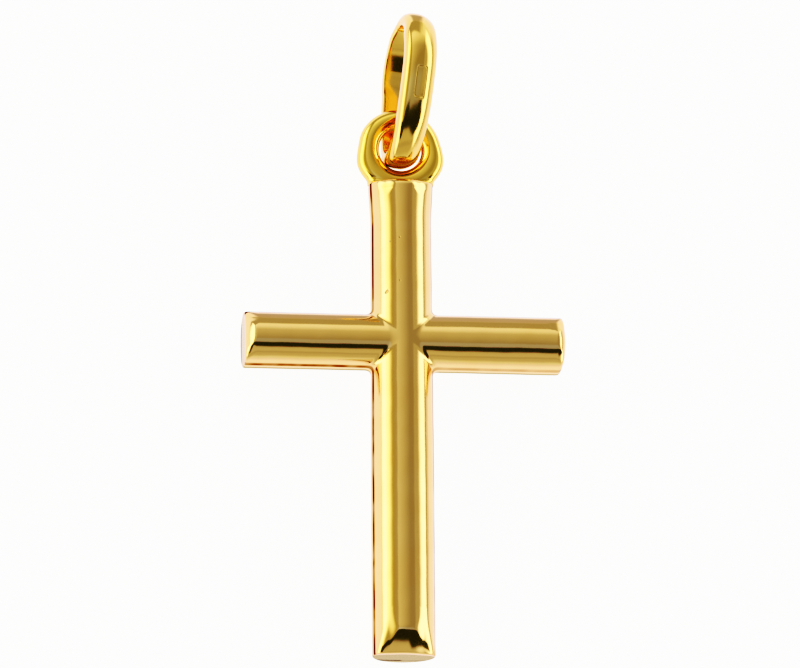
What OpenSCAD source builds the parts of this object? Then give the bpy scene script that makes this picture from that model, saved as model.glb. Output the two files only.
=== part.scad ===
// Hollow gold cross pendant with a soldered ring and a loose bail, lying on its back.
// Frame: millimetres, floor at z = 0, front towards +Z, the cross's top towards +Y, bar along X.
// The stem's axis is at x = 0, and y = 0 is half way along the whole pendant with its bail.
// The two nodes touch nowhere: the bail runs free through the ring.

/* [Cross] */

// Overall length of the stem, end to end
stem_length = 25; // [15:0.5:45]
// Width of the stem seen from the front
stem_width = 3.1; // [2:0.05:6]
// Overall length of the bar, end to end
bar_length = 16.55; // [9:0.5:32]
// Width of the bar seen from the front
bar_width = 2.87; // [2:0.05:6]
// Depth of both arms from back to front
body_depth = 3.1; // [2.4:0.05:6]
// From the bar's middle line up to the stem's top end
bar_drop = 8.5; // [4:0.25:16]
// Sideways offset of the bar's middle from the stem's axis
bar_shift = 0.1; // [-1:0.05:1]
// Thickness of the hollow shell
wall = 0.22; // [0.12:0.01:0.6]

/* [Sloped ends] */

// How far the front crest drops to the flat end faces
slope_drop = 0.5; // [0.1:0.05:1.1]
// Length of the front slope at the stem's bottom end
bottom_slope = 1; // [0.2:0.05:2]
// Length of the front slope at the stem's top end
top_slope = 0.4; // [0.2:0.05:2]
// Length of the front slopes at the bar's ends
bar_slope = 0.4; // [0.2:0.05:2]
// Chamfer round the rim of each end face
end_rim = 0.15; // [0.05:0.01:0.4]

/* [Ring] */

// Diameter of the ring's round wire
ring_wire = 1.07; // [0.6:0.01:1.3]
// Play on each side between the bail's strip and the ring's hole
hole_play = 0.29; // [0.1:0.01:1]
// How deep the ring is sunk into the stem's top end where it is soldered
ring_sink = 0.33; // [0.2:0.01:0.6]

/* [Bail] */

// Outside length of the bail
bail_length = 8.26; // [6:0.02:14]
// Outside reach of the bail from its back strand to its front strand
bail_reach = 4.8; // [3.8:0.05:7]
// Width of the strip that the bail is bent from
strip_width = 1.64; // [1:0.05:2.6]
// Thickness of the strip at its crown
strip_thick = 0.75; // [0.4:0.01:0.9]
// Height of the strip's straight sides under the domed crown
strip_side = 0.15; // [0.05:0.01:0.3]
// Angle that each side turns above the widest place, before the top bend takes over
top_side_turn = 43.5; // [25:0.5:45]
// Angle that each side turns below the widest place, before the bottom bend takes over
bottom_side_turn = 21.5; // [15:0.5:30]
// How far the bail's widest place is above its middle
widest_up = 1.23; // [0:0.01:1.5]

/* [Bail at rest] */

// Lean of the bail's long axis to the right, seen from the front
bail_lean = 5.5; // [0:0.1:12]
// Lift of the bail's top end from the floor
bail_pitch = 9.5; // [0:0.1:15]
// Turn of the bail about its own long axis
bail_turn = 9.9; // [0:0.1:15]
// Sideways place of the bail's middle
bail_side = 0.31; // [-0.4:0.01:0.6]
// Gap that is kept between the bail and the ring's wire
bail_gap = 0.04; // [0.03:0.01:0.3]

/* [Hidden] */

$fn = 96;

gold = [0.86, 0.66, 0.22];

half_depth = body_depth / 2;
top_wall = ring_sink + wall;

// The ring, measured up from the stem's top end
half_strip = strip_width / 2;
wire_r = ring_wire / 2;
hole_r = half_strip + hole_play;
ring_r = hole_r + wire_r;
ring_up = ring_r + wire_r - ring_sink;

// The bail: two half ovals that meet at the widest place, each of a side bend and an end bend
inner_half = bail_reach / 2 - strip_thick;
upper_len = bail_length / 2 - strip_thick - widest_up;
lower_len = bail_length / 2 - strip_thick + widest_up;
crown_rise = strip_thick - strip_side;
top_r = end_radius(upper_len, top_side_turn);
top_side_r = top_r + radius_step(upper_len, top_side_turn);
bottom_r = end_radius(lower_len, bottom_side_turn);
bottom_side_r = bottom_r + radius_step(lower_len, bottom_side_turn);

// How much larger the side bend's radius is than the end bend's, so that they meet smoothly
function radius_step(length, turn) = (length - inner_half) / (sin(turn) + cos(turn) - 1);
function end_radius(length, turn) = inner_half - radius_step(length, turn) * (1 - cos(turn));

// A point at this height over the strip's inner face: angle from the widest place to the tip
function half_oval(angle, length, end_r, side_r, turn, height) =
    angle < turn
    ? [(side_r + height) * sin(angle), (side_r + height) * cos(angle) - side_r + inner_half]
    : [length - end_r + (end_r + height) * sin(angle), (end_r + height) * cos(angle)];

function upper_point(angle, height) =
    half_oval(angle, upper_len, top_r, top_side_r, top_side_turn, height);
function lower_point(angle, height) =
    half_oval(angle, lower_len, bottom_r, bottom_side_r, bottom_side_turn, height);

// Places over the strip's section: sideways, and height over the inner face
section_places = [
    for (k = [-1, -0.5, 0, 0.5, 1]) [k * half_strip, 0],
    for (a = [0:22.5:180]) [half_strip * cos(a), strip_side + crown_rise * sin(a)]
];

// Points over the whole bail in its own frame: sideways, along and outwards
bail_points = [
    for (p = section_places, a = [0:3:90], s = [-1, 1])
        each [
            let (u = upper_point(a, p[1])) [p[0], widest_up + u[0], s * u[1]],
            let (l = lower_point(a, p[1])) [p[0], widest_up - l[0], s * l[1]]
        ]
];

// The bail's turn, pitch and lean applied to a point, in that order
function turned(p) = [p[0] * cos(bail_turn) + p[2] * sin(bail_turn), p[1],
    p[2] * cos(bail_turn) - p[0] * sin(bail_turn)];
function pitched(p) = [p[0], p[1] * cos(bail_pitch) - p[2] * sin(bail_pitch),
    p[1] * sin(bail_pitch) + p[2] * cos(bail_pitch)];
function leaned(p) = [p[0] * cos(bail_lean) + p[1] * sin(bail_lean),
    p[1] * cos(bail_lean) - p[0] * sin(bail_lean), p[2]];

posed_points = [for (p = bail_points) leaned(pitched(turned(p)))];
bail_up = ring_up - hole_r + bail_length / 2;
settle_step = 0.03;

// Places along Y, with the whole length centred on y = 0
overall_length = stem_length + bail_up + max([for (p = posed_points) p[1]]);
bottom_y = -overall_length / 2;
top_y = bottom_y + stem_length;
bar_y = top_y - bar_drop;
ring_y = top_y + ring_up;
bail_y = top_y + bail_up;
floor_z = -min([for (p = posed_points) p[2]]);

// Clearance of the bail from the ring's wire with the bail's middle at this place
function clearance(y, z) = min([
    for (p = posed_points)
        let (rho = norm([p[0] + bail_side, p[1] + y - ring_y]))
            norm([rho - ring_r, p[2] + z - half_depth])
]) - wire_r;

// Moves the bail up or down by small steps until it is clear, where changed sizes leave no room
function settled(y, z, steps) =
    steps == 0 || clearance(y, z) >= bail_gap
    ? [y, z]
    : clearance(y + settle_step, z) > clearance(y, z - settle_step)
    ? settled(y + settle_step, z, steps - 1)
    : settled(y, z - settle_step, steps - 1);
bail_at = settled(bail_y, floor_z, 40);

// One arm as a turned rod along +Z from z = 0, its end rims chamfered
module rod(length, radius, rim) {
    rotate_extrude()
        polygon([[0, 0], [radius - rim, 0], [radius, rim], [radius, length - rim],
            [radius - rim, length], [0, length]]);
}

// Both arms as one body, inside the outer surface by this inset
module arms(inset, top_inset) {
    depth = half_depth - inset;
    across_x = (stem_width / 2 - inset) / depth;
    across_y = (bar_width / 2 - inset) / depth;
    stem_run = (stem_length - inset - top_inset) / across_y;
    bar_run = (bar_length - 2 * inset) / across_x;
    // Round rods first, so that they meet in true curves, then pressed to their two widths
    translate([0, bar_y, half_depth])
        scale([across_x, across_y, 1]) {
            translate([0, (bottom_y - bar_y + inset) / across_y, 0])
                rotate([-90, 0, 0])
                    rod(stem_run, depth, end_rim);
            translate([(bar_shift - bar_length / 2 + inset) / across_x, 0, 0])
                rotate([0, 90, 0])
                    rod(bar_run, depth, end_rim);
        }
}

// Cuts the front crest down to the end face of an arm that ends at x = 0
module end_slope(length, inset) {
    reach = 3 * body_depth;
    translate([0, 0, body_depth - slope_drop])
        rotate([0, atan2(slope_drop, length), 0])
            translate([-reach, -reach / 2, -inset])
                cube([2 * reach, reach, reach]);
}

module body(inset, top_inset) {
    difference() {
        arms(inset, top_inset);
        translate([0, top_y, 0])
            rotate([0, 0, 90])
                end_slope(top_slope, inset);
        translate([0, bottom_y, 0])
            rotate([0, 0, -90])
                end_slope(bottom_slope, inset);
        translate([bar_shift + bar_length / 2, bar_y, 0])
            end_slope(bar_slope, inset);
        translate([bar_shift - bar_length / 2, bar_y, 0])
            rotate([0, 0, 180])
                end_slope(bar_slope, inset);
    }
}

module ring() {
    translate([0, ring_y, half_depth])
        rotate_extrude()
            translate([ring_r, 0])
                circle(r = wire_r);
}

// The soldered piece: two half shells, their end faces and the ring are one sealed hollow solid
module cross() {
    color(gold)
        difference() {
            union() {
                body(0, 0);
                ring();
            }
            body(wall, top_wall);
        }
}

// Section of the strip: flat inner face on x = 0, straight sides, domed crown towards +X
module strip_section() {
    translate([0, -half_strip])
        square([strip_side, strip_width]);
    translate([strip_side, 0])
        intersection() {
            scale([crown_rise / half_strip, 1])
                circle(r = half_strip);
            translate([0, -half_strip])
                square([crown_rise, strip_width]);
        }
}

// A shift in a coarse and a fine step, so that neighbouring bends meet to the last digit
module fine_shift(v) {
    coarse = [for (c = v) round(c * 1000) / 1000];
    translate(coarse)
        translate(v - coarse)
            children();
}

// One bend of the strip about this centre, from one angle to another
module bend(centre, radius, from, to) {
    fine_shift(centre)
        rotate_extrude(start = from, angle = to - from)
            fine_shift([radius, 0])
                strip_section();
}

// One long half of the bail in its own frame: along X, outwards in Y, strip width in Z
module half_loop() {
    bend([widest_up + upper_len - top_r, 0, 0], top_r, 0, 90 - top_side_turn);
    bend([widest_up, inner_half - top_side_r, 0], top_side_r, 90 - top_side_turn, 90);
    bend([widest_up, inner_half - bottom_side_r, 0], bottom_side_r, 90, 90 + bottom_side_turn);
    bend([widest_up - lower_len + bottom_r, 0, 0], bottom_r, 90 + bottom_side_turn, 180);
}

module bail_loop() {
    half_loop();
    mirror([0, 1, 0])
        half_loop();
}

// The loose bail, resting on the floor with its lower bend in the ring
module bail() {
    color(gold)
        translate([bail_side, bail_at[0], bail_at[1]])
            rotate([0, 0, -bail_lean])
                rotate([bail_pitch, 0, 0])
                    rotate([0, bail_turn, 0])
                        rotate([90, 0, 90])
                            bail_loop();
}

cross();
bail();
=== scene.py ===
"""Looks of the gold cross pendant.

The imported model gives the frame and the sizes. This file puts three finer pieces in the places of
its two nodes (the shell of the cross, the ring that is soldered to it, and the loose bail), gives
them polished gold, and sets up a pale floor, a soft studio and the camera.

Lengths in the classes are millimetres, and MM turns them into the frame's metres.
"""

import logging
import math
from collections.abc import Callable
from dataclasses import dataclass, field
from enum import Enum

import bpy
import numpy as np
from mathutils import Matrix, Vector


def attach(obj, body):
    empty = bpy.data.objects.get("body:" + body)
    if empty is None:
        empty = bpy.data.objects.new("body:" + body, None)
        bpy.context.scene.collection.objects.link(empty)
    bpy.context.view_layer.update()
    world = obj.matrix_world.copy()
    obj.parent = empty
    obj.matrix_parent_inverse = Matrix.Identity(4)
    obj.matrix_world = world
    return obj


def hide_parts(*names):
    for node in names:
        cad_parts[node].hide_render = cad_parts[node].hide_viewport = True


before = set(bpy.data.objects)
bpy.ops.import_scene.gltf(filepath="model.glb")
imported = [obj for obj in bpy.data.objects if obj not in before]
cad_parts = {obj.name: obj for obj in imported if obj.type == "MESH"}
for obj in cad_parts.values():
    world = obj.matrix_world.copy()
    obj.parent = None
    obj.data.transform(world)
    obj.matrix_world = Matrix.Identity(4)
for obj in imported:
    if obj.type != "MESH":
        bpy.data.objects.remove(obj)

MM = 0.001
IMAGE_WIDTH = 800
IMAGE_HEIGHT = 668
WHITE = (1.0, 1.0, 1.0, 1.0)

Array = np.ndarray
Distance = Callable[[Array], Array]
Triple = tuple[float, float, float]
Colour = tuple[float, float, float, float]
Socket = bpy.types.NodeSocket
Tree = bpy.types.NodeTree

log = logging.getLogger("pendant")


# Numbers over grids


def smooth_min(a: Array, b: Array, width: Array | float) -> Array:
    """Smaller of two fields, rounded where they are nearly equal.

    The result is min(a, b) - h * h / (4 width), where h = max(width - |a - b|, 0).

    Args:
        a: First field.
        b: Second field.
        width: How near to each other the fields start to blend, in their own unit.

    Returns:
        The blended field.
    """
    near = np.maximum(width - np.abs(a - b), 0.0)
    return np.minimum(a, b) - near * near / (4.0 * np.maximum(width, 1e-9))


def smooth_max(a: Array, b: Array, width: Array | float) -> Array:
    """Larger of two fields, rounded as smooth_min rounds the smaller."""
    return -smooth_min(-a, -b, width)


@dataclass(frozen=True)
class Ease:
    """A size that comes in smoothly along a way: amount * t * t * (3 - 2 t).

    Attributes:
        amount: The whole size.
        start: Where it starts, t = 0 there and before.
        stop: Where all of it is reached, t = 1 there and beyond.
    """

    amount: float
    start: float
    stop: float

    def at(self, way: Array) -> Array:
        """The size at each place of the way."""
        t = np.clip((way - self.start) / (self.stop - self.start), 0.0, 1.0)
        return self.amount * (t * t * (3.0 - 2.0 * t))


def circle(count: int) -> Array:
    """Angles once round, in equal steps."""
    return np.linspace(0.0, 2.0 * math.pi, count, endpoint=False)


def first_crossing(
    distance: Distance, origin: Array, ray: Array, low: float, high: float, steps: int = 30
) -> Array:
    """Points where rays leave a shape, found by halving: P = origin + t * ray.

    Args:
        distance: Field that is negative inside the shape.
        origin: Starting points inside it, their coordinates on the last axis.
        ray: Directions, of the same size.
        low: Smallest t, inside.
        high: Largest t, outside.
        steps: How often the interval is halved.

    Returns:
        The points.
    """
    near = np.full(origin.shape[:-1], low)
    far = np.full(origin.shape[:-1], high)
    for _ in range(steps):
        middle = (near + far) / 2.0
        inside = distance(origin + middle[..., None] * ray) < 0.0
        near = np.where(inside, middle, near)
        far = np.where(inside, far, middle)
    return origin + ((near + far) / 2.0)[..., None] * ray


def gradient(distance: Distance, points: Array, step: float = 0.004) -> Array:
    """Unit normals of a field by central differences.

    Args:
        distance: Field that is negative inside the solid.
        points: Places, shape (n, 3).
        step: Half the distance between the two samples on each axis.

    Returns:
        Unit vectors, shape (n, 3).
    """
    parts = [distance(points + axis) - distance(points - axis) for axis in np.eye(3) * step]
    normals = np.stack(parts, axis=-1)
    return normals / np.linalg.norm(normals, axis=-1, keepdims=True)


# Meshes


@dataclass
class Patch:
    """A grid of points that becomes faces.

    Attributes:
        points: Shape (rows, columns, 3), in millimetres.
        wrap_rows: True if the last row joins the first.
        wrap_columns: True if the last column joins the first.
        flip: True if the faces would otherwise look inward.
    """

    points: Array
    wrap_rows: bool = False
    wrap_columns: bool = False
    flip: bool = False

    def faces(self, start: int) -> Array:
        """Corner numbers of the grid's quads.

        Args:
            start: Number of the patch's first point in the whole mesh.

        Returns:
            Shape (quads, 4).
        """
        rows, columns = self.points.shape[:2]
        last_row = rows if self.wrap_rows else rows - 1
        last_column = columns if self.wrap_columns else columns - 1
        i, j = np.meshgrid(np.arange(last_row), np.arange(last_column), indexing="ij")
        down, right = (i + 1) % rows, (j + 1) % columns
        corners = [i * columns + j, down * columns + j, down * columns + right, i * columns + right]
        quads = np.stack(corners, axis=-1).reshape(-1, 4)
        return start + (quads[:, ::-1] if self.flip else quads)


def weld(points: Array, quads: Array, grid: float = 1e-5) -> tuple[Array, Array, Array]:
    """Joins points that lie on the same place and drops the corners that this makes double.

    Args:
        points: Shape (n, 3).
        quads: Corner numbers, shape (m, 4).
        grid: Points that round to the same multiple of this are one.

    Returns:
        The joined points, the quads that are left and the triangles.
    """
    keys = np.round(points / grid).astype(np.int64)
    _, first, number = np.unique(keys, axis=0, return_index=True, return_inverse=True)
    quads = number.reshape(-1)[quads]
    same = quads == np.roll(quads, -1, axis=1)
    thin = same.sum(axis=1) == 1
    return points[first], quads[~same.any(axis=1)], quads[thin][~same[thin]].reshape(-1, 3)


def solid_object(
    name: str, patches: list[Patch], distance: Distance | None = None, origin: Triple = (0.0,) * 3
) -> bpy.types.Object:
    """One mesh object from patches, in the row frame.

    Args:
        name: The piece's name.
        patches: Grids whose borders meet.
        distance: Field whose gradient gives exact normals, if the surface has one.
        origin: Where the patches' own origin lies in the frame, in millimetres.

    Returns:
        The linked object, at the frame's origin.
    """
    points, quads, start = [], [], 0
    for patch in patches:
        points.append(patch.points.reshape(-1, 3))
        quads.append(patch.faces(start))
        start += len(points[-1])
    places, whole, triangles = weld(np.concatenate(points), np.concatenate(quads))
    mesh = bpy.data.meshes.new(name)
    mesh.vertices.add(len(places))
    mesh.vertices.foreach_set("co", ((places + np.array(origin)) * MM).astype(np.float32).ravel())
    corners = np.concatenate([whole.ravel(), triangles.ravel()]).astype(np.int32)
    sizes = np.repeat([4, 3], [len(whole), len(triangles)])
    mesh.loops.add(len(corners))
    mesh.loops.foreach_set("vertex_index", corners)
    mesh.polygons.add(len(sizes))
    mesh.polygons.foreach_set("loop_start", (np.cumsum(sizes) - sizes).astype(np.int32))
    mesh.polygons.foreach_set("use_smooth", np.ones(len(sizes), dtype=bool))
    mesh.update(calc_edges=True)
    mesh.validate()
    if distance is not None:
        mesh.normals_split_custom_set_from_vertices(gradient(distance, places).tolist())
    piece = bpy.data.objects.new(name, mesh)
    bpy.context.scene.collection.objects.link(piece)
    return piece


def settle(
    piece: bpy.types.Object, finish: "GoldFinish", node: str
) -> bpy.types.Object:
    """Dresses a piece and tells the frame where it belongs.

    Args:
        piece: The finished mesh.
        finish: Its gold.
        node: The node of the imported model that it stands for.

    Returns:
        The same piece.
    """
    piece.data.materials.append(finish.build())
    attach(piece, "root")
    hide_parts(node)
    return piece


# The cross


class Arm(Enum):
    """The four arms of the cross: axis number, and direction along that axis."""

    TOP = (1, 1)
    BOTTOM = (1, -1)
    RIGHT = (0, 1)
    LEFT = (0, -1)


@dataclass(frozen=True)
class ArmEnd:
    """The end of an arm: a flat face, and a bulged slope that takes the front crest down to it.

    Attributes:
        reach: Distance of the end face from the crossing's middle.
        length: How far the slope starts before the end face.
        drop: How far the crest drops.
        bulge: How much the slope turns over its length, in degrees.
        follow: How much the slope follows the arm's round section, 0 for a plane across.
        limits: How far to either side of the crest it does so.
        curve: How far the end curves back at the arm's side towards the foot or the left.
        far_share: Share of the curve at the other side.
    """

    reach: float
    length: float
    drop: float
    bulge: float
    follow: float
    limits: tuple[float, float]
    curve: float = 0.0
    far_share: float = 0.3

    def lowered(self, side: Array, half: float, crest: float) -> Array:
        """How far the slope lies lower beside the crest, where it follows the arm's section.

        The arm's own drop crest * (1 - sqrt(1 - (side / half) ^ 2)), taken at the smaller of the
        side distance and the limit on that side, times follow.

        Args:
            side: Signed distance across the arm.
            half: The arm's half width.
            crest: Height of the crest over the arm's axis.

        Returns:
            The drop.
        """
        limit = np.where(side < 0.0, self.limits[0], self.limits[1])
        near = np.maximum(smooth_min(np.abs(side), limit, 0.5 * limit), 0.0)
        return self.follow * crest * (1.0 - np.sqrt(1.0 - np.minimum(near / half, 0.95) ** 2))

    def arc(self, crest: float) -> Triple:
        """The slope's circle, seen from the side.

        Args:
            crest: Height of the crest over the arm's axis.

        Returns:
            How far its centre is inside the end face, the centre's height, and the radius.
        """
        turn = math.radians(self.bulge)
        radius = math.hypot(self.length, self.drop) / (2.0 * math.sin(turn / 2.0))
        tilt = math.atan2(self.drop, self.length) - turn / 2.0
        return self.length + radius * math.sin(tilt), crest - radius * math.cos(tilt), radius


@dataclass
class CrossShell:
    """The outer surface of the hollow cross, in millimetres from the middle of the crossing.

    Both arms are rods of elliptic section, the bar's crest a little lower than the stem's. A point
    is inside an arm where hypot(across / half width, height / half depth) < 1, and inside its
    ends. The arms blend with a small solder fillet in the four corners, which fades out towards
    the crests. A small notch is left at the stem's top end, where the ring is soldered on.
    """

    stem_half: float = 1.59
    stem_growth: Ease = Ease(0.045, 6.0, -8.0)
    top_flare: Ease = Ease(0.10, 6.3, 8.6)
    bar_half: float = 1.465
    bar_growth: Ease = Ease(0.035, 0.0, 2.5)
    depth_half: float = 1.55
    bar_depth_half: float = 1.505
    fillet: float = 0.28
    crest_fillet: float = 0.06
    rim: float = 0.11
    crest_edge: float = 0.04
    leg_edge: Ease = Ease(0.26, 0.4, 0.95)
    ends: dict[Arm, ArmEnd] = field(
        default_factory=lambda: {
            Arm.TOP: ArmEnd(8.5, 0.26, 0.20, 30.0, 0.9, (1.1, 1.1)),
            Arm.BOTTOM: ArmEnd(16.6, 1.29, 0.63, 21.0, 0.86, (0.75, 1.0)),
            Arm.RIGHT: ArmEnd(8.485, 0.42, 0.42, 40.0, 0.85, (0.2, 1.1), 0.18),
            Arm.LEFT: ArmEnd(8.265, 0.50, 0.5, 24.0, 0.9, (0.12, 1.2)),
        }
    )
    notch_at: Triple = (0.03, 8.52, 1.02)
    notch_half: float = 0.26
    notch_radius: float = 0.17
    notch_edge: float = 0.04
    slow_wave: float = 0.0035
    quick_wave: float = 0.0013
    around: int = 144
    row_step: float = 0.115
    crowding: Ease = Ease(0.65, 0.0, 14.0)
    mitre_fade: float = 0.8
    end_rings: int = 72
    end_room: float = 1.4
    origin: Triple = (0.03, -0.47865, 1.55)

    def rod(self, points: Array, axis: int) -> Array:
        """Distance field of one arm with its two ends.

        Args:
            points: Places, shape (..., 3).
            axis: 0 for the bar, 1 for the stem.

        Returns:
            The field, negative inside.
        """
        side, height, along = points[..., 1 - axis], points[..., 2], points[..., axis]
        if axis == 0:
            deep, own = self.bar_depth_half, self.bar_half
            half = own + self.bar_growth.at(along)
            height = height + self.depth_half - deep
        else:
            deep, own = self.depth_half, self.stem_half
            half = own + self.stem_growth.at(along) + self.top_flare.at(along)
        solid = (np.hypot(side / half, height / deep) - 1.0) * deep
        edge = self.crest_edge + self.leg_edge.at(np.abs(side))
        for arm, end in self.ends.items():
            if arm.value[0] != axis:
                continue
            back = end.curve * (side / half) ** 2 * np.where(side < 0.0, 1.0, end.far_share)
            inside = end.reach - arm.value[1] * along - back
            centre, level, radius = end.arc(deep)
            raised = height + end.lowered(side, own, deep)
            past, over = np.minimum(inside - centre, 0.0), np.maximum(raised - level, 0.0)
            slope = np.hypot(past, over) - radius - 0.5 * np.maximum(inside - centre, 0.0)
            solid = smooth_max(smooth_max(solid, slope, edge), -inside, self.rim)
        return solid

    def waves(self, points: Array) -> Array:
        """Slight unevenness that hand polishing leaves: slow sines of a few micrometres.

        Args:
            points: Places, shape (..., 3).

        Returns:
            Height over the true surface.
        """
        x, y, z = points[..., 0], points[..., 1], points[..., 2]
        slow = np.sin(1.7 * x + 0.9 * y + 0.3) * np.sin(1.3 * y - 0.8 * x + 1.9 * z)
        quick = np.sin(3.9 * x + 1.1 * y + 1.0) * np.sin(4.3 * y - 1.7 * x + 2.0 * z)
        return self.slow_wave * slow + self.quick_wave * quick

    def distance(self, points: Array) -> Array:
        """Distance field of the whole shell.

        Args:
            points: Places, shape (..., 3).

        Returns:
            The field, negative inside.
        """
        level = np.clip(1.0 - (points[..., 2] / self.depth_half) ** 2, 0.0, 1.0)
        fillet = self.crest_fillet + self.fillet * level
        both = smooth_min(self.rod(points, 1), self.rod(points, 0), fillet)
        x0, y0, z0 = self.notch_at
        beside = np.maximum(np.abs(points[..., 0] - x0) - self.notch_half, 0.0)
        away = np.sqrt(beside**2 + (points[..., 1] - y0) ** 2 + (points[..., 2] - z0) ** 2)
        return smooth_max(both, self.notch_radius - away, self.notch_edge) - self.waves(points)

    def cast(self, arm: Arm, start: Array, forward: Array, outward: Array | float) -> Patch:
        """The patch that rays from an arm's axis draw where they leave the shell.

        With the section angle a, a ray has the parts forward along the arm, half width * cos a *
        outward across it, and half depth * sin a * outward upwards.

        Args:
            arm: Which arm.
            start: Where the rays start on the axis, shape (rows, around).
            forward: Their parts along the arm.
            outward: Their shares of the section's half sizes.

        Returns:
            The patch.
        """
        axis, sign = arm.value
        own = self.bar_half if axis == 0 else self.stem_half
        angle = circle(self.around)
        ray, origin = np.zeros(start.shape + (3,)), np.zeros(start.shape + (3,))
        ray[..., axis] = sign * forward
        ray[..., 1 - axis] = own * np.cos(angle) * outward
        ray[..., 2] = self.depth_half * np.sin(angle) * outward
        origin[..., axis] = sign * start
        points = first_crossing(self.distance, origin, ray, 0.3, 2.2)
        return Patch(points, wrap_columns=True, flip=(axis == 1) != (sign == 1))

    def arm_patch(self, arm: Arm) -> Patch:
        """The surface of one arm, from the mitre with its neighbours to near its end.

        With the section angle a, the mitre lies at |cos a| times the other arm's half width. At
        the mitre the ray starts in the crossing's middle and runs in the mitre's plane, and
        mitre_fade further on it starts square to the arm's axis. Rows are closer near the mitre.

        Args:
            arm: Which arm.

        Returns:
            The patch.
        """
        other = self.stem_half if arm.value[0] == 0 else self.bar_half
        mitre = other * np.abs(np.cos(circle(self.around)))
        stop = self.ends[arm].reach - self.end_room
        rows = np.arange(int(round(stop / self.row_step)))
        weights = 1.0 - self.crowding.amount + self.crowding.at(rows)
        share = np.concatenate([[0.0], np.cumsum(weights)]) / weights.sum()
        along = mitre + (stop - mitre) * share[:, None]
        mitred = np.clip(1.0 - (along - mitre) / self.mitre_fade, 0.0, 1.0) ** 2
        return self.cast(arm, along - mitred * mitre, mitred * mitre, 1.0)

    def end_patch(self, arm: Arm) -> Patch:
        """The last part of one arm, with its slope and end face, closed in a pole.

        Rays fan out from a point on the arm's axis, from square to it to straight along it.

        Args:
            arm: Which arm.

        Returns:
            The patch.
        """
        fan = np.linspace(0.0, math.pi / 2.0, self.end_rings + 1)[:, None]
        start = np.full((len(fan), self.around), self.ends[arm].reach - self.end_room)
        return self.cast(arm, start, self.end_room * np.sin(fan), np.cos(fan))

    def build(self, finish: "GoldFinish") -> bpy.types.Object:
        """Builds the shell and dresses it.

        Args:
            finish: Its gold.

        Returns:
            The piece, riding on the row's body.
        """
        patches = [patch(arm) for patch in (self.arm_patch, self.end_patch) for arm in Arm]
        piece = solid_object("cross_shell", patches, self.distance, self.origin)
        return settle(piece, finish, "cross")


@dataclass
class SolderedRing:
    """The ring of round wire on the stem's top end, with solder in the corners beside the stem.

    A point of the wire is where a ray from the wire's middle line leaves the blend of the wire and
    the cross, at most wire_half + solder away. The blend is wider beside the stem.
    """

    shell: CrossShell
    centre_up: float = 10.35
    radius: float = 1.645
    wire_half: float = 0.535
    lower_growth: Ease = Ease(0.12, 0.5, -1.1)
    upper_shift: Ease = Ease(0.065, -0.3, 1.2)
    solder: float = 0.40
    blend: float = 0.12
    shoulder_blend: Ease = Ease(0.20, 0.7, 1.5)
    around: int = 240
    section: int = 80

    def wire(self, points: Array) -> Array:
        """Distance from the wire's surface, which is a little wider in the ring's lower half.

        With the growth g there, it is hypot((flat - radius - g) / (1 + g / wire_half), height)
        - wire_half, so that the hole stays as it is. The upper half is set a little to the left.

        Args:
            points: Places from the crossing's middle, shape (..., 3).

        Returns:
            The field, negative inside.
        """
        up = points[..., 1] - self.centre_up
        flat = np.hypot(points[..., 0] + self.upper_shift.at(up), up)
        growth = self.lower_growth.at(up)
        across = (flat - self.radius - growth) / (1.0 + growth / self.wire_half)
        return np.hypot(across, points[..., 2]) - self.wire_half

    def distance(self, points: Array) -> Array:
        """Distance field of the wire blended with the cross, negative inside."""
        blend = self.blend + self.shoulder_blend.at(np.abs(points[..., 0]))
        return smooth_min(self.wire(points), self.shell.distance(points), blend)

    def build(self, finish: "GoldFinish") -> bpy.types.Object:
        """Builds the ring and dresses it.

        With the turn t round the ring and the angle a round the wire, a ray runs along
        (cos t cos a, sin t cos a, sin a).

        Args:
            finish: Its gold.

        Returns:
            The piece, riding on the row's body.
        """
        turn, angle = circle(self.around)[:, None], circle(self.section)[None, :, None]
        outward = np.stack([np.cos(turn), np.sin(turn), 0.0 * turn], axis=-1)
        ray = outward * np.cos(angle) + np.array([0.0, 0.0, 1.0]) * np.sin(angle)
        middle = outward * self.radius + np.array([0.0, self.centre_up, 0.0])
        origin = np.broadcast_to(middle, ray.shape)
        points = first_crossing(self.distance, origin, ray, 0.2, self.wire_half + self.solder)
        patch = Patch(points, wrap_rows=True, wrap_columns=True)
        piece = solid_object("ring", [patch], self.distance, self.shell.origin)
        return settle(piece, finish, "cross")


# The bail


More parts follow.
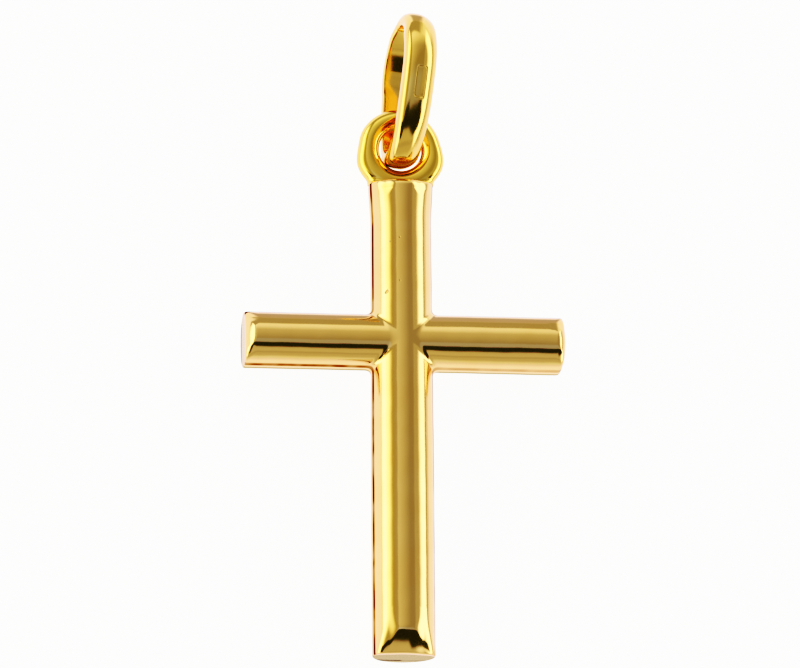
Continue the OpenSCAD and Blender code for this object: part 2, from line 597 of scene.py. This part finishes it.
@dataclass(frozen=True)
class HalfOval:
    """One end of the bail's inner outline: bends that meet smoothly, from the side to the tip.

    A bend of radius r from the angle a0 on adds r * (sin a - sin a0, cos a - cos a0) to the
    place. The first and the last radius follow from the length and the half reach.

    Attributes:
        length: From the widest place to the inside of the tip.
        half: Inner half reach.
        turns: Angles at which the bends meet, in degrees.
        middle: Radii of the bends between the first and the last.
    """

    length: float
    half: float
    turns: tuple[float, ...]
    middle: tuple[float, ...]

    def radii(self) -> tuple[Array, Array]:
        """The bends in numbers.

        Returns:
            Angles at which they start and stop, and their inner radii.
        """
        angle = np.radians([0.0, *self.turns, 90.0])
        along, inward = np.diff(np.sin(angle)), -np.diff(np.cos(angle))
        known = np.array(self.middle)
        rest = [self.length - (along[1:-1] * known).sum(), self.half - (inward[1:-1] * known).sum()]
        first, last = np.linalg.solve([[along[0], along[-1]], [inward[0], inward[-1]]], rest)
        return angle, np.array([first, *self.middle, last])

    def outline(self, spacing: float, thick: float) -> tuple[Array, Array]:
        """Points and outward normals from the widest place to the tip.

        Args:
            spacing: Largest distance between the points on the strip's outside.
            thick: The strip's thickness.

        Returns:
            Points and unit normals, shape (n, 2) each, along and outward.
        """
        angles, radii = self.radii()
        place = np.array([0.0, self.half])
        points, normals = [place[None, :]], [np.array([[0.0, 1.0]])]
        for start, stop, radius in zip(angles[:-1], angles[1:], radii):
            count = max(4, math.ceil((radius + thick) * (stop - start) / spacing))
            a = np.linspace(start, stop, count + 1)[1:]
            turn = np.stack([np.sin(a), np.cos(a)], axis=-1)
            points.append(place + radius * (turn - np.array([math.sin(start), math.cos(start)])))
            normals.append(turn)
            place = points[-1][-1]
        return np.concatenate(points), np.concatenate(normals)


@dataclass
class Bail:
    """The loose bail: a domed strip bent to an oval, with one small blank punched field.

    Its own frame has x across the strip, y along the oval's long axis and z outward at the front.
    The back strand is widest lower than the front strand and set in a little, most of all just
    below its middle. Its lower part is shifted to the right, and its upper part is twisted.
    """

    length: float = 8.26
    reach: float = 4.8
    width: float = 1.69
    shift: float = 0.025
    thick: float = 0.75
    side: float = 0.15
    core: tuple[float, float] = (0.27, 0.42)
    widest_up: float = 1.23
    back_widest: float = 0.60
    back_inset: float = 0.06
    top_turns: tuple[float, ...] = (43.5,)
    bottom_turns: tuple[float, ...] = (11.0, 39.0)
    bottom_middle: tuple[float, ...] = (3.75,)
    edge: float = 0.07
    crown_left: float = 2.8
    crown_right: float = 1.7
    spread: Ease = Ease(0.08, -2.4, -0.6)
    spread_right: float = 0.4
    top_taper: Ease = Ease(0.10, 2.6, 3.35)
    behind: Ease = Ease(1.0, 0.0, -1.0)
    low_shift: Ease = Ease(0.05, 1.5, -1.5)
    high_twist: Ease = Ease(0.09, -0.5, 0.5)
    twist_at: float = 0.7
    inset_low: Ease = Ease(0.06, -3.2, -1.4)
    inset_high: Ease = Ease(1.0, 1.2, 0.0)
    lean: float = 5.5
    pitch: float = 9.5
    turn: float = 9.9
    centre: Triple = (0.31, 12.89131, 2.29882)
    section: int = 140
    spacing: float = 0.042
    punch_at: tuple[float, float] = (0.06, 0.35)
    punch_half: tuple[float, float] = (0.27, 0.80)
    punch_wall: tuple[float, float] = (-0.06, 0.03)
    punch_deep: float = 0.014

    def path(self) -> tuple[Array, Array]:
        """The inner outline once round, from the front's widest place over the top.

        Returns:
            Points and outward normals, shape (n, 2) each.
        """
        half, reach = self.reach / 2.0 - self.thick, self.length / 2.0 - self.thick
        points, normals = [], []
        for up, out in ((1.0, 1.0), (1.0, -1.0), (-1.0, -1.0), (-1.0, 1.0)):
            widest, inset = (self.widest_up, 0.0) if out > 0.0 else (self.back_widest, self.back_inset)
            turns, middle = (self.top_turns, ()) if up > 0.0 else (self.bottom_turns, self.bottom_middle)
            oval = HalfOval(reach - up * widest, half - inset, turns, middle)
            p, n = oval.outline(self.spacing, self.thick)
            way = 1 if up * out > 0.0 else -1
            points.append((p * np.array([up, out]) + np.array([widest, 0.0]))[::way][:-1])
            normals.append((n * np.array([up, out]))[::way][:-1])
        return np.concatenate(points), np.concatenate(normals)

    def strip(self) -> Array:
        """The strip's section as (across, height over the inner face), once round.

        The dome is |x / half|^n + |h / rise|^n = 1 over straight sides, with a fuller left half,
        and smooth_max eases the corners to the flat inner face. Rays leave a point at the core's
        height, and the core's half height is the measure of their upward part.

        Returns:
            Shape (section, 2).
        """
        half, rise = self.width / 2.0, self.thick - self.side
        angle = circle(self.section) + math.pi / 2.0
        ray = np.stack([np.cos(angle) * half, np.sin(angle) * self.core[1]], axis=-1)

        def outside(q: Array) -> Array:
            """Distance from the section's outline, negative inside."""
            x, h = q[..., 0], q[..., 1]
            up = np.maximum(h - self.side, 0.0) / rise
            power = np.where(x < 0.0, self.crown_left, self.crown_right)
            dome = ((np.abs(x) / half) ** power + up**power) ** (1.0 / power) - 1.0
            return smooth_max(dome * 0.6, -h, self.edge)

        return first_crossing(outside, np.broadcast_to([0.0, self.core[0]], ray.shape), ray, 0.2, 1.8)

    def pose(self) -> Array:
        """Rotation of the bail at rest: its turn, then its pitch, then its lean."""
        turns = ((-self.lean, "Z"), (self.pitch, "X"), (self.turn, "Y"))
        lean, pitch, turn = (Matrix.Rotation(math.radians(angle), 3, axis) for angle, axis in turns)
        return np.array(lean @ pitch @ turn)

    def build(self, finish: "GoldFinish") -> bpy.types.Object:
        """Sweeps the strip round the oval and dresses it.

        Each point is the path's point plus its normal times the height, with the place across.

        Args:
            finish: Its gold.

        Returns:
            The piece, riding on the row's body.
        """
        line, normal = self.path()
        strip = self.strip()
        up, out = line[:, :1], line[:, 1:]
        wider = 1.0 + self.spread.at(up) / self.width
        across = strip[:, 0] * wider + (wider - 1.0) * self.spread_right
        left = np.clip(-across / (self.width / 2.0), 0.0, 1.0)
        behind = self.behind.at(out)
        twist = self.high_twist.at(up) * behind
        across = across + self.top_taper.at(up) * left
        across = across + self.shift + self.low_shift.at(up) * behind - twist
        height = strip[:, 1] + twist * (across - self.twist_at)
        height = height - self.inset_low.at(up) * self.inset_high.at(up) * behind
        height = height - self.punched(up, out, across, height)
        points = np.stack([across, up + normal[:, :1] * height, out + normal[:, 1:] * height], axis=-1)
        points = points @ self.pose().T + np.array(self.centre)
        piece = solid_object("bail_strip", [Patch(points, wrap_rows=True, wrap_columns=True)])
        return settle(piece, finish, "bail")

    def frame(self) -> "EngravedFrame":
        """The engraved line round the blank punched field."""
        pose = tuple(tuple(float(v) for v in row) for row in self.pose())
        return EngravedFrame(pose, self.centre, self.punch_at, self.punch_half)

    def punched(self, up: Array, out: Array, across: Array, height: Array) -> Array:
        """Depth of the blank punched field on the front strand's outer face.

        The field is the product of two smooth steps, across the strip and along it.

        Args:
            up: Places along the oval's long axis.
            out: Places outwards.
            across: Places across the strip.
            height: Heights over the inner face.

        Returns:
            Depth at each point.
        """
        depth = self.punch_deep * ((out > 0.0) & (height > 0.4))
        for place, middle, half in zip((across, up), self.punch_at, self.punch_half):
            wall = Ease(1.0, half + self.punch_wall[0], half + self.punch_wall[1])
            depth = depth * (1.0 - wall.at(np.abs(place - middle)))
        return depth


# Colours and node fields


def linear(code: str) -> Colour:
    """Linear colour of an sRGB hex code.

    Args:
        code: A # and six hex digits.

    Returns:
        Red, green, blue and 1.
    """
    parts = [int(code[i : i + 2], 16) / 255.0 for i in (1, 3, 5)]
    red, green, blue = (c / 12.92 if c <= 0.04045 else ((c + 0.055) / 1.055) ** 2.4 for c in parts)
    return red, green, blue, 1.0


def add_node(
    tree: Tree, kind: str, inputs: dict | None = None, **settings: object
) -> bpy.types.Node:
    """Adds one shader node to a tree.

    Args:
        tree: The tree.
        kind: The node's type name after ShaderNode.
        inputs: Socket name or number to a constant, or to the output socket to link.
        settings: The node's own properties.

    Returns:
        The node.
    """
    node = tree.nodes.new("ShaderNode" + kind)
    for name, value in settings.items():
        setattr(node, name, value)
    for name, value in (inputs or {}).items():
        if isinstance(value, Socket):
            tree.links.new(value, node.inputs[name])
        else:
            node.inputs[name].default_value = value
    return node


@dataclass(frozen=True)
class Field:
    """A number that varies over a surface or over directions, as the output of nodes.

    Plain arithmetic on fields adds Math nodes to their tree.

    Attributes:
        tree: The tree.
        socket: The output.
    """

    tree: Tree
    socket: Socket

    def math(self, operation: str, *values: "Field | float") -> "Field":
        """The result of one Math node."""
        sockets = {i: v.socket if isinstance(v, Field) else v for i, v in enumerate(values)}
        return Field(self.tree, add_node(self.tree, "Math", sockets, operation=operation).outputs[0])

    def __add__(self, other: "Field | float") -> "Field":
        """Their sum."""
        return self.math("ADD", self, other)

    def __sub__(self, other: "Field | float") -> "Field":
        """This less the other."""
        return self.math("SUBTRACT", self, other)

    def __rsub__(self, other: float) -> "Field":
        """The other less this."""
        return self.math("SUBTRACT", other, self)

    def __mul__(self, other: "Field | float") -> "Field":
        """Their product."""
        return self.math("MULTIPLY", self, other)

    def __truediv__(self, other: "Field | float") -> "Field":
        """This divided by the other."""
        return self.math("DIVIDE", self, other)

    __radd__ = __add__
    __rmul__ = __mul__

    def absolute(self) -> "Field":
        """Its size without sign."""
        return self.math("ABSOLUTE", self)

    def at_least(self, other: "Field | float") -> "Field":
        """The larger of the two."""
        return self.math("MAXIMUM", self, other)

    def at_most(self, other: "Field | float") -> "Field":
        """The smaller of the two."""
        return self.math("MINIMUM", self, other)

    def root(self) -> "Field":
        """Its square root."""
        return self.math("SQRT", self)

    def step(self, low: float, high: float) -> "Field":
        """Smooth step from 0 at low to 1 at high; falls instead if low is the larger.

        Args:
            low: Where it is 0.
            high: Where it is 1.

        Returns:
            The step.
        """
        limits = (low, high, 0.0, 1.0) if low < high else (high, low, 1.0, 0.0)
        inputs = dict(enumerate((self.socket, *limits)))
        node = add_node(self.tree, "MapRange", inputs, interpolation_type="SMOOTHSTEP")
        return Field(self.tree, node.outputs[0])

    def toward(self, other: "Field | float", share: "Field") -> "Field":
        """Moves towards another by a share from 0 to 1: self + (other - self) * share."""
        return self + (other - self) * share


@dataclass(frozen=True)
class Place:
    """Where a shader is worked out.

    Attributes:
        tree: The tree.
        vector: The whole vector.
        x: Its part to the right.
        y: Its part to the cross's top.
        z: Its part upwards.
    """

    tree: Tree
    vector: Socket
    x: Field
    y: Field
    z: Field


def place_in(tree: Tree, coordinates: str, scale: float) -> Place:
    """Reads coordinates into a tree.

    Args:
        tree: The tree.
        coordinates: Which output of the coordinates' node.
        scale: What they are multiplied by.

    Returns:
        The place.
    """
    source = add_node(tree, "TexCoord").outputs[coordinates]
    scaled = add_node(tree, "VectorMath", {0: source, 1: (scale,) * 3}, operation="MULTIPLY")
    parts = add_node(tree, "SeparateXYZ", {0: scaled.outputs[0]})
    return Place(tree, scaled.outputs[0], *(Field(tree, part) for part in parts.outputs))


def layered(tree: Tree, base: Colour, layers: list[tuple[Field, Colour]]) -> Socket:
    """Lays colours over each other.

    Args:
        tree: The tree.
        base: The lowest colour.
        layers: How much each colour covers, and the colour, from below upwards.

    Returns:
        The mixed colour.
    """
    for share, over in layers:
        node = add_node(tree, "Mix", {0: share.socket, 6: base, 7: over}, data_type="RGBA")
        base = node.outputs[2]
    return base


def fresh_tree(owner: bpy.types.Material | bpy.types.World) -> Tree:
    """The emptied node tree of a material or a world."""
    owner.use_nodes = True
    owner.node_tree.nodes.clear()
    return owner.node_tree


def add_surface(tree: Tree, height: Socket, strength: float, unit: float, inputs: dict) -> None:
    """Ends a material's tree with its relief, its shader and the output.

    Args:
        tree: The tree.
        height: Height of the relief.
        strength: How much of the relief shows, 0 to 1.
        unit: The height's unit in metres.
        inputs: The shader's other inputs.
    """
    relief = add_node(tree, "Bump", {"Strength": strength, "Distance": unit, "Height": height})
    shader = add_node(tree, "BsdfPrincipled", {**inputs, "Normal": relief.outputs[0]})
    add_node(tree, "OutputMaterial", {"Surface": shader.outputs[0]})


# Materials


@dataclass(frozen=True)
class Mark:
    """A pit, dent or scratch on the front.

    Attributes:
        x: Place in the frame.
        y: Place in the frame.
        half: Half length and half width.
        turn: Direction of the length, in degrees from the x axis.
        depth: Depth in millimetres, negative for a raised spot.
        dark: How much it darkens.
        stain: Colour that it darkens to.
    """

    x: float
    y: float
    half: tuple[float, float]
    turn: float = 0.0
    depth: float = 0.01
    dark: float = 0.5
    stain: str = "#5A3A12"

    def share(self, at: Place) -> Field:
        """1 in the mark and 0 outside, on the front half only.

        Args:
            at: The place in millimetres.

        Returns:
            The share.
        """
        c, s = math.cos(math.radians(self.turn)), math.sin(math.radians(self.turn))
        along = ((at.x - self.x) * c + (at.y - self.y) * s) / self.half[0]
        beside = ((at.y - self.y) * c - (at.x - self.x) * s) / self.half[1]
        return (along * along + beside * beside).root().step(1.0, 0.35) * at.z.step(1.5, 1.7)


@dataclass(frozen=True)
class EngravedFrame:
    """A thin line round a blank rectangle with eased corners, on the front of a posed part.

    Attributes:
        pose: Rows of the part's rotation.
        centre: The part's origin in the frame.
        at: Middle of the rectangle in the part's own x and y.
        half: Half sizes of the rectangle.
        corner: Radius of its corners.
        line: Half width of the line.
        depth: Its depth in millimetres.
        dark: How much it darkens.
        stain: Colour that it darkens to.
    """

    pose: tuple[tuple[float, ...], ...]
    centre: Triple
    at: tuple[float, float]
    half: tuple[float, float]
    corner: float = 0.12
    line: float = 0.035
    depth: float = 0.012
    dark: float = 0.6
    stain: str = "#6A4A12"

    def share(self, at: Place) -> Field:
        """1 on the line and 0 elsewhere.

        Args:
            at: The place in millimetres.

        Returns:
            The share.
        """
        x, y, z = (part - middle for part, middle in zip((at.x, at.y, at.z), self.centre))
        columns = zip(*self.pose)
        across, along, up = (x * column[0] + y * column[1] + z * column[2] for column in columns)
        beside, beyond = (
            ((own - middle).absolute() - (half - self.corner)).at_least(0.0)
            for own, middle, half in zip((across, along), self.at, self.half)
        )
        ring = (beside * beside + beyond * beyond).root() - self.corner
        return ring.absolute().step(self.line, self.line * 0.3) * up.step(1.2, 1.4)


@dataclass(frozen=True)
class GoldFinish:
    """Polished yellow gold, 18 carat look: a mirror that hand polishing leaves slightly uneven.

    The alloy varies a little from place to place, the reflections waver, and the finest scratches,
    drawn coarser than real ones so that they show, run along the stem.

    Attributes:
        name: The material's name.
        alloy: Colour that the metal reflects straight on.
        deep: The slightly redder colour that it varies towards.
        solder: Colour of the solder beside the ring.
        roughness: Of the polish.
        wear: Extra roughness in the finest scratches.
        cloud_mm: Size of the places where the alloy varies.
        mottle_mm: Size of the slow unevenness in the polish.
        mottle_height: Its height in millimetres.
        solder_at: Middle of the soldered place in the frame, or None.
        solder_reach: How far the solder's colour spreads.
        seam_and_shade_heights: Heights of the seam line in the end plates and of the line round the
            sides, partly real seams and partly painted shade, or None.
        seam_depth: Depth of both.
        plates: The end plates' places: least x, most x and least y in the frame, or None.
        plate_colour: The end plates' paler colour.
        plate_haze: Extra roughness of the end plates.
        marks: Small marks of wear, and engraved lines.
    """

    name: str
    alloy: str = "#F3C77F"
    deep: str = "#EDB865"
    solder: str = "#DDA04E"
    roughness: float = 0.10
    wear: float = 0.05
    cloud_mm: float = 2.0
    mottle_mm: float = 0.45
    mottle_height: float = 0.0007
    solder_at: Triple | None = None
    solder_reach: float = 0.8
    seam_and_shade_heights: tuple[float, float] | None = None
    seam_depth: float = 0.003
    plates: Triple | None = None
    plate_colour: str = "#F3C99C"
    plate_haze: float = 0.12
    marks: tuple[Mark | EngravedFrame, ...] = ()

    def build(self) -> bpy.types.Material:
        """Builds the material.

        Returns:
            The material.
        """
        material = bpy.data.materials.new(self.name)
        tree = fresh_tree(material)
        at = place_in(tree, "Object", 1.0 / MM)
        # Scratches about 0.04 mm across and 0.33 mm long
        drawn_out = add_node(tree, "Mapping", {"Vector": at.vector, "Scale": (26.0, 3.0, 26.0)})
        cloud, mottle, scratch = (
            Field(tree, add_node(tree, "TexNoise", inputs).outputs["Fac"])
            for inputs in (
                {"Vector": at.vector, "Scale": 1.0 / self.cloud_mm, "Detail": 2.0},
                {"Vector": at.vector, "Scale": 1.0 / self.mottle_mm, "Detail": 3.0, "Roughness": 0.55},
                {"Vector": drawn_out.outputs[0], "Scale": 1.0, "Detail": 2.0},
            )
        )
        plate = self.plate(at)
        height = mottle * self.mottle_height
        rough = scratch.step(0.45, 0.8) * self.wear + self.roughness + plate * self.plate_haze
        layers = [(cloud.step(0.35, 0.75) * 0.25, linear(self.deep))]
        edge_tint = WHITE
        if self.solder_at is not None:
            layers.append((self.soldered(at), linear(self.solder)))
        if self.plates is not None:
            layers.append((plate, linear(self.plate_colour)))
        # Seam lines, partly real seams and partly painted shade: a dark brown colour and a dark edge
        # tint that stand for the contact shadow beside the body, seen in reflection.
        if self.seam_and_shade_heights is not None:
            seam_and_shade = self.seam_and_shade(at, plate, cloud)
            edge_tint = layered(tree, WHITE, [(seam_and_shade, linear("#3A1C08"))])
            height = height - seam_and_shade * self.seam_depth
            layers.append((seam_and_shade, linear("#7A4310")))
        for mark in self.marks:
            share = mark.share(at)
            height = height - share * mark.depth
            layers.append((share * mark.dark, linear(mark.stain)))
        inputs = {
            "Base Color": layered(tree, linear(self.alloy), layers),
            "Metallic": 1.0,
            "Roughness": rough.socket,
            "Specular Tint": edge_tint,
        }
        add_surface(tree, height.socket, 1.0, MM, inputs)
        return material

    def plate(self, at: Place) -> Field:
        """1 on the end plates and 0 elsewhere.

        Args:
            at: The place in millimetres.

        Returns:
            The share.
        """
        share = 0.0 * at.x
        if self.plates is not None:
            left, right, foot = self.plates
            for part, end, inward in ((at.x, left, 1.0), (at.x, right, -1.0), (at.y, foot, 1.0)):
                share = share.at_least(part.step(end + 0.05 * inward, end + 0.01 * inward))
        return share

    def seam_and_shade(self, at: Place, plate: Field, cloud: Field) -> Field:
        """The seam lines in the end plates and round the sides, partly real seams and partly painted
        shade: darker on the left, where they stand for the contact shadow beside the body seen in
        reflection, and patchy.

        Args:
            at: The place in millimetres.
            plate: Share of the end plates.
            cloud: The alloy's noise.

        Returns:
            1 in a seam line, painted shade included, and 0 elsewhere.
        """
        plate_seam_and_shade, side_seam_and_shade = self.seam_and_shade_heights
        low = (at.z - plate_seam_and_shade).absolute().step(0.15, 0.06) * plate
        patchy = cloud.step(0.35, 0.6) * 0.4 + 0.6
        side = (at.z - side_seam_and_shade).absolute().step(0.165, 0.08) * (1.0 - plate) * patchy
        # Painted shade: both lines are darker on the left, for the contact shadow beside the body that
        # the left side reflects.
        low = low * (at.x.step(0.1, -0.1) * 0.75 + 0.2)
        return low.at_least(side * (at.x.step(-1.2, -1.4) * 0.45 + 0.5))

    def soldered(self, at: Place) -> Field:
        """How much the solder's colour shows, in a flat oval place round solder_at.

        Args:
            at: The place in millimetres.

        Returns:
            The share.
        """
        x, y, z = (part - middle for part, middle in zip((at.x, at.y, at.z), self.solder_at))
        return (x * x * 0.35 + y * y + z * z * 0.3).root().step(self.solder_reach, 0.15) * 0.8


@dataclass(frozen=True)
class PaperFinish:
    """White backing paper, lit until it is nearly pure white.

    Attributes:
        name: The material's name.
        colour: The paper.
        glow: Light that comes through it from the light table below.
        share: How much of its colour it reflects besides.
    """

    name: str = "backing_paper"
    colour: str = "#F4F4F2"
    glow: float = 1.45
    share: float = 0.3

    def build(self) -> bpy.types.Material:
        """Builds the material.

        Returns:
            The material.
        """
        material = bpy.data.materials.new(self.name)
        tree = fresh_tree(material)
        at = place_in(tree, "Object", 1.0 / MM)
        fibre = add_node(tree, "TexNoise", {"Vector": at.vector, "Scale": 3.0})
        *paper, _ = linear(self.colour)
        inputs = {
            "Base Color": (*(part * self.share for part in paper), 1.0),
            "Roughness": 0.9,
            "Emission Color": (*paper, 1.0),
            "Emission Strength": self.glow,
        }
        add_surface(tree, fibre.outputs["Fac"], 0.2, 0.01 * MM, inputs)
        return material


# Studio


@dataclass
class Studio:
    """Pale floor, soft studio surround and camera.

    The surround is a field over directions in the frame: x to the right, y to the cross's top, z up.
    Two soft boxes stand low on the left and on the right, the ceiling glows more towards the left
    and the top end, a dark gap opens above the foot, and the lit table is below.
    """

    walls: float = 0.42
    box: float = 2.3
    gap: float = 0.03
    lit_floor: float = 1.3
    under: float = 0.73
    exposure: float = 1.11
    paper_half: float = 400.0
    white: float = 1.7
    camera_tilt: float = 13.576
    camera_side: float = 7.385
    camera_roll: float = -0.422
    camera_far: float = 350.0
    sensor: float = 36.0
    pixels_per_mm: float = 19.242
    target: Triple = (0.0, -0.47865, 1.5)
    target_pixel: tuple[float, float] = (400.833, 343.333)

    def surround(self) -> None:
        """Sets the world to the studio's field of brightness."""
        world = bpy.data.worlds.new("studio")
        bpy.context.scene.world = world
        tree = fresh_tree(world)
        way = place_in(tree, "Generated", 1.0)
        light = self.soft_boxes(self.walls_and_ceiling(way), way)
        light = self.below(self.dark_gap(light, way), way) * self.exposure
        background = add_node(tree, "Background", {"Color": self.tint(way), "Strength": light.socket})
        add_node(tree, "OutputWorld", {"Surface": background.outputs[0]})

    def walls_and_ceiling(self, way: Place) -> Field:
        """Walls, and a ceiling glow that grows towards the left and towards the top end.

        Args:
            way: The direction.

        Returns:
            The brightness.
        """
        x, y, z = way.x, way.y, way.z
        foot = 0.0 - y
        glow = (0.43 + 0.35 * (y - 0.25) - 0.52 * (x - 0.12)).at_least(0.3).at_most(0.84)
        glow = glow + 0.4 * y.step(0.5, 0.82) + 0.06 * y.step(-0.06, -0.16)
        high = z.step(0.43, 0.53) * x.step(-0.405, -0.36) * x.step(0.60, 0.55)
        near_foot = foot.step(0.5, 0.8)
        walls = self.walls + 0.07 * near_foot + 0.4 * near_foot * z.step(0.28, 0.0)
        walls = walls - 0.04 * y.step(0.5, 0.8) - 0.04 * x.step(-0.3, -0.5)
        walls = walls + 0.7 * y.step(0.45, 0.65) * x.step(0.28, 0.42)
        walls = walls + 0.8 * x.step(-0.80, -0.90) * z.step(0.20, 0.10)
        rise = z / foot.at_least(0.05)
        under_gap = near_foot * rise.step(0.54, 0.66) * rise.step(1.30, 1.10)
        dip = near_foot * rise.step(0.40, 0.47) * rise.step(0.58, 0.51)
        return walls.toward(glow, high) + 0.16 * under_gap - 0.07 * dip

    def soft_boxes(self, light: Field, way: Place) -> Field:
        """The two soft boxes low on the left and on the right.

        Args:
            light: The brightness so far.
            way: The direction.

        Returns:
            The new brightness.
        """
        x, z = way.x, way.z
        left = z.step(0.77, 0.50) * x.step(-0.50, -0.70) * z.step(0.07, 0.14)
        right = z.step(0.625, 0.405) * x.step(0.50, 0.70) * z.step(0.11, 0.16)
        return light.toward(self.box, left.at_least(right))

    def dark_gap(self, light: Field, way: Place) -> Field:
        """The dark gap above the foot, a long card's shape with a softer lower edge.

        Args:
            light: The brightness so far.
            way: The direction.

        Returns:
            The new brightness.
        """
        foot = 0.0 - way.y
        aside = way.x / way.z.at_least(0.05)
        skew = 1.0 + 0.7 * aside.step(-0.35, -0.8)
        rise = way.z / foot.at_least(0.05)
        low = rise * (skew + 0.6 * aside.step(0.2, 0.7))
        top = rise * skew * (1.0 - 0.2 * aside.step(0.1, -0.1))
        tall = low.step(1.02, 1.38) * top.step(2.75, 2.3) * foot.step(0.1, 0.2)
        wide = aside.step(-1.6, -1.2) * (aside - 0.6 * top.step(1.9, 1.3)).step(1.5, 1.2)
        return light.toward(self.gap, tall * wide)

    def below(self, light: Field, way: Place) -> Field:
        """The lit table: darker far behind both ends, in a line on the right and straight below.

        Args:
            light: The brightness so far.
            way: The direction.

        Returns:
            The new brightness.
        """
        x, y, z = way.x, way.y, way.z
        far_top = y.step(0.50, 0.78) * z.step(-0.70, -0.52) * x.step(-0.20, 0.0) * x.step(0.4, 0.25)
        far_foot = (0.0 - y).step(0.6, 0.9) * z.step(-0.32, -0.02)
        right_line = x.step(0.7, 0.85) * z.step(-0.20, -0.12)
        bright = (self.lit_floor + 0.0 * z).toward(0.47, far_top).toward(0.92, far_foot)
        bright = bright.toward(0.85, right_line)
        bright = bright.toward(self.under + 0.95 * y, z.step(-0.90, -0.95))
        return light.toward(bright, z.step(0.01, -0.03))

    def tint(self, way: Place) -> Socket:
        """Colours of the light: rosy table, warm edge of the left box, cool strip, warm middle below.

        Args:
            way: The direction.

        Returns:
            The colour.
        """
        x, y, z = way.x, way.y, way.z
        rosy = z.step(0.03, -0.10) * z.step(-0.95, -0.90)
        warm = z.step(0.34, 0.50) * x.step(-0.42, -0.60)
        cool = y.step(-0.06, -0.14) * y.step(-0.42, -0.30) * z.step(0.80, 0.90)
        under = (0.0 - y).step(0.0, 0.2) * z.step(-0.90, -0.95)
        layers = [
            (rosy, (1.0, 0.94, 1.22, 1.0)),
            (warm, (1.0, 0.96, 0.65, 1.0)),
            (cool, (1.0, 1.12, 1.55, 1.0)),
            (under, (1.0, 0.965, 0.70, 1.0)),
        ]
        return layered(way.tree, WHITE, layers)

    def floor(self) -> bpy.types.Object:
        """The sheet of paper that the pendant lies on.

        Returns:
            The floor.
        """
        sides = (-self.paper_half, self.paper_half)
        grid = np.array([[[x, y, 0.0] for x in sides] for y in sides])
        floor = solid_object("floor", [Patch(grid, flip=True)])
        floor.data.materials.append(PaperFinish().build())
        floor.visible_glossy = False
        return floor

    def camera(self) -> bpy.types.Object:
        """The camera at the photograph's angle to the pendant.

        The view direction leans by camera_tilt towards the foot and by camera_side to the left.
        Focal length in pixels is distance times pixels per millimetre.

        Returns:
            The camera.
        """
        leans = (-math.tan(math.radians(angle)) for angle in (self.camera_side, self.camera_tilt))
        back = Vector((*leans, 1.0)).normalized()
        flat_right = Vector((0.0, 1.0, 0.0)).cross(back).normalized()
        flat_up = back.cross(flat_right)
        roll = math.radians(self.camera_roll)
        right = flat_right * math.cos(roll) + flat_up * math.sin(roll)
        up = flat_up * math.cos(roll) - flat_right * math.sin(roll)
        off_x = (self.target_pixel[0] - IMAGE_WIDTH / 2) / self.pixels_per_mm
        off_y = (self.target_pixel[1] - IMAGE_HEIGHT / 2) / self.pixels_per_mm
        aim = Vector(self.target) - right * off_x + up * off_y
        lens = bpy.data.cameras.new("camera")
        lens.sensor_width = self.sensor
        lens.lens = self.sensor * self.camera_far * self.pixels_per_mm / IMAGE_WIDTH
        lens.clip_start, lens.clip_end = 0.01, 5.0
        camera = bpy.data.objects.new("camera", lens)
        pose = Matrix((right, up, back)).transposed().to_4x4()
        pose.translation = (aim + back * self.camera_far) * MM
        camera.matrix_world = pose
        bpy.context.scene.collection.objects.link(camera)
        bpy.context.scene.camera = camera
        return camera

    def develop(self) -> None:
        """The tone curve of the photograph: a soft toe and a soft shoulder up to white."""
        view = bpy.context.scene.view_settings
        view.view_transform = "Standard"
        view.look = "None"
        view.use_curve_mapping = True
        mapping = view.curve_mapping
        mapping.white_level = (self.white,) * 3
        both = [(0.0, 0.0), (0.05, 0.0187), (0.111, 0.054), (0.202, 0.19), (0.333, 0.367)]
        both += [(0.549, 0.584), (1.0, 0.856), (1.35, 0.955), (self.white, 1.0)]
        blue = [(0.0, 0.0), (0.02, 0.007), (0.031, 0.020), (0.045, 0.042), (0.07, 0.072)]
        blue += [(0.10, 0.10), (0.23, 0.21), (0.31, 0.29), (0.54, 0.56), (1.0, 1.0)]
        for number, wanted, top in ((3, both, self.white), (2, blue, 1.0)):
            curve = mapping.curves[number]
            while len(curve.points) < len(wanted):
                curve.points.new(0.5, 0.5)
            for point, (bright, shown) in zip(curve.points, wanted):
                point.location = (bright / top, shown)
                point.handle_type = "AUTO_CLAMPED"
        mapping.update()


def main() -> None:
    """Builds the pieces in order, then the studio, and reports them."""
    logging.basicConfig(level=logging.INFO, format="%(name)s: %(message)s")
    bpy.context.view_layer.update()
    joint = (0.0, 8.12, 1.55)
    wear = (
        Mark(-0.25, 4.82, (0.07, 0.06), depth=0.03, dark=0.7),
        Mark(-0.23, 2.50, (0.06, 0.05), depth=0.02, dark=0.6),
        Mark(-0.87, 1.94, (0.16, 0.08), turn=50.0, depth=0.03, dark=0.4),
        Mark(-0.74, 4.62, (0.06, 0.06), depth=-0.02, dark=0.0),
        Mark(-0.95, -1.28, (0.28, 0.06), turn=50.0, depth=0.03, dark=0.8),
    )
    shell, bail = CrossShell(), Bail()
    body = GoldFinish(
        "gold_cross",
        solder_at=joint,
        solder_reach=0.7,
        # Seam lines, partly real seams and partly painted shade of the contact shadow seen in
        # reflection.
        seam_and_shade_heights=(0.69, 1.965),
        plates=(-8.235, 8.485, -17.079),
        marks=wear,
    )
    wire = GoldFinish("gold_ring", alloy="#F5C966", solder_at=joint, solder_reach=0.85)
    strip = GoldFinish("gold_bail", alloy="#F3C66F", mottle_height=0.0009, marks=(bail.frame(),))
    for piece in (shell.build(body), SolderedRing(shell).build(wire), bail.build(strip)):
        log.info("%s: %d faces", piece.name, len(piece.data.polygons))
    studio = Studio()
    studio.surround()
    studio.floor()
    studio.camera()
    studio.develop()


if __name__ == "__main__":
    main()
